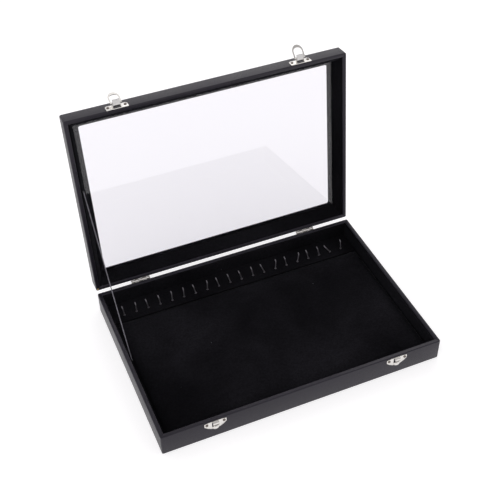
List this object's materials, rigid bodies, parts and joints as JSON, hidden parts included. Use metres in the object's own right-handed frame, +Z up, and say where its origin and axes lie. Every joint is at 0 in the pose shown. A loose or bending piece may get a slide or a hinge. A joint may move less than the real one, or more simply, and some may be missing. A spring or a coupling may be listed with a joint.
{
  "type": "necklace display case",
  "caption": "Shallow hinged case with a padded velvet bed, a row of necklace hooks, a glazed lid held open by a cord, and draw latches.",
  "frame": {"origin": "centre of the base's underside", "axes": "+X to the right along the width, +Y to the hinged back, +Z up; the lid stands open at 96.6 degrees"},
  "size_m": [0.35, 0.2961, 0.2854],
  "materials": {
    "board": "bare board, hidden under its covering",
    "leatherette": "fine grained, semi-matt",
    "underside_paper": "matt pressed paper",
    "window_card": "black card round the window",
    "velvet": "short dense pile",
    "foam": "open foam, hidden",
    "glass": "clear, polished",
    "nickel": "bright nickel plate",
    "hook_wire": "black plated wire, satin",
    "screw_steel": "bright plated",
    "pin_steel": "drawn wire",
    "brass": "bright",
    "cord": "waxed braid with a soft sheen",
    "cord_knot": "waxed braid"
  },
  "bodies": {
    "base": {"base_front_board": "board", "base_back_board": "board", "base_left_board": "board", "base_right_board": "board", "base_bottom_board": "board", "base_wrap": "leatherette", "base_underside_sheet": "underside_paper", "base_front_liner": "velvet", "base_back_liner": "velvet", "base_left_liner": "velvet", "base_right_liner": "velvet", "bed_board": "board", "bed_foam": "foam", "bed_cover": "velvet", "hook_strip_board": "board", "hook_strip_cover": "velvet", "necklace_hooks": "hook_wire", "catch_plate_left": "nickel", "catch_plate_right": "nickel", "catch_screws": "screw_steel", "hinge_base_leaf_left": "nickel", "hinge_base_leaf_right": "nickel", "hinge_base_screws": "screw_steel", "hinge_pin_left": "pin_steel", "hinge_pin_right": "pin_steel", "stay_base_anchor": "cord_knot", "stay_cord": "cord"},
    "lid": {"lid_front_board": "board", "lid_back_board": "board", "lid_left_board": "board", "lid_right_board": "board", "lid_window_frame": "window_card", "lid_wrap": "leatherette", "lid_glass": "glass", "lid_front_moulding": "velvet", "lid_back_moulding": "velvet", "lid_left_moulding": "velvet", "lid_right_moulding": "velvet", "hinge_lid_leaf_left": "nickel", "hinge_lid_leaf_right": "nickel", "hinge_lid_screws": "screw_steel", "latch_plate_left": "nickel", "latch_plate_right": "nickel", "latch_pin_left": "pin_steel", "latch_pin_right": "pin_steel", "latch_screws": "screw_steel", "stay_lid_anchor": "cord_knot", "rim_pin": "brass"},
    "lever_left": {"latch_lever_left": "nickel"},
    "lever_right": {"latch_lever_right": "nickel"},
    "loop_left": {"latch_loop_left": "nickel"},
    "loop_right": {"latch_loop_right": "nickel"}
  },
  "joints": [
    {"name": "lid_hinge", "type": "hinge", "parent": "base", "child": "lid", "pos_m": [0, 0.1218, 0.0294], "axis": [1, 0, 0], "range_deg": [0, 96.6], "deforming": ["stay_cord"]},
    {"name": "lever_left_hinge", "type": "hinge", "parent": "lid", "child": "lever_left", "pos_m": [-0.11145, 0.15535, 0.27235], "axis": [1, 0, 0], "range_deg": [-85, 0]},
    {"name": "lever_right_hinge", "type": "hinge", "parent": "lid", "child": "lever_right", "pos_m": [0.11605, 0.15535, 0.27235], "axis": [1, 0, 0], "range_deg": [-85, 0]},
    {"name": "loop_left_hinge", "type": "hinge", "parent": "lever_left", "child": "loop_left", "pos_m": [-0.11145, 0.15643, 0.27417], "axis": [1, 0, 0], "range_deg": [0, 250.66]},
    {"name": "loop_right_hinge", "type": "hinge", "parent": "lever_right", "child": "loop_right", "pos_m": [0.11605, 0.15643, 0.27417], "axis": [1, 0, 0], "range_deg": [0, 220.66]}
  ],
  "couplings": [
    {"joint": "loop_left_hinge", "follows": "lever_left_hinge", "ratio": -2.9489},
    {"joint": "loop_right_hinge", "follows": "lever_right_hinge", "ratio": -2.5959}
  ]
}
